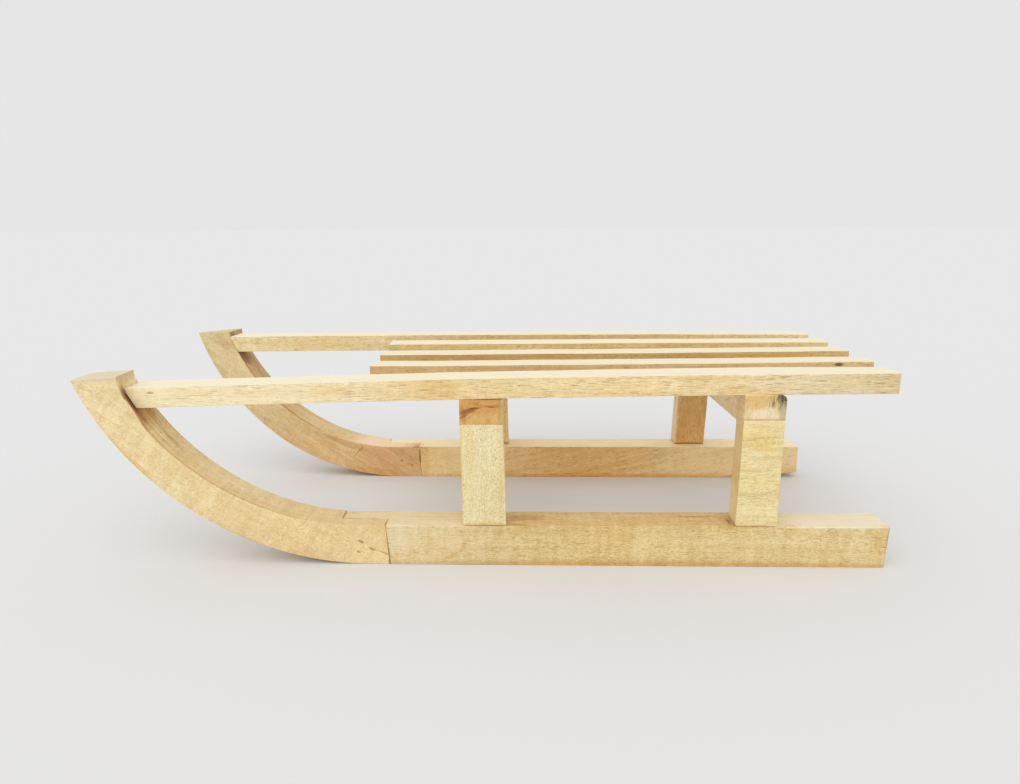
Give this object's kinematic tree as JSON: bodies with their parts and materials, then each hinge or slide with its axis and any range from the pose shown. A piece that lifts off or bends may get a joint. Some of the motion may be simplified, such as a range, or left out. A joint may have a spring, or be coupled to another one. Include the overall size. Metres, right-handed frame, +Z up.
{
  "type": "wooden sled",
  "caption": "Plain wooden sled with curled runners half lapped to straight bars, posts, crossbars and an open deck of long outer rails and shorter inner slats.",
  "frame": {"origin": "on the ground, under the middle of the sled's bounding box", "axes": "+X to the rear, +Y to the sled's right, +Z up; the horns point to -X"},
  "size_m": [0.895, 0.3575, 0.2217],
  "materials": {
    "horn_wood": "bare sanded hardwood",
    "bar_wood": "bare sanded hardwood",
    "post_wood": "bare sanded hardwood",
    "crossbar_wood": "bare sanded hardwood",
    "deck_wood": "bare sanded hardwood"
  },
  "bodies": {
    "root": {"runner_horn_left": "horn_wood", "runner_horn_right": "horn_wood", "runner_bar_left": "bar_wood", "runner_bar_right": "bar_wood", "post_front_left": "post_wood", "post_front_right": "post_wood", "post_rear_left": "post_wood", "post_rear_right": "post_wood", "crossbar_front": "crossbar_wood", "crossbar_rear": "crossbar_wood", "rail_left": "deck_wood", "rail_right": "deck_wood", "slat_left": "deck_wood", "slat_middle": "deck_wood", "slat_right": "deck_wood"}
  },
  "joints": []
}
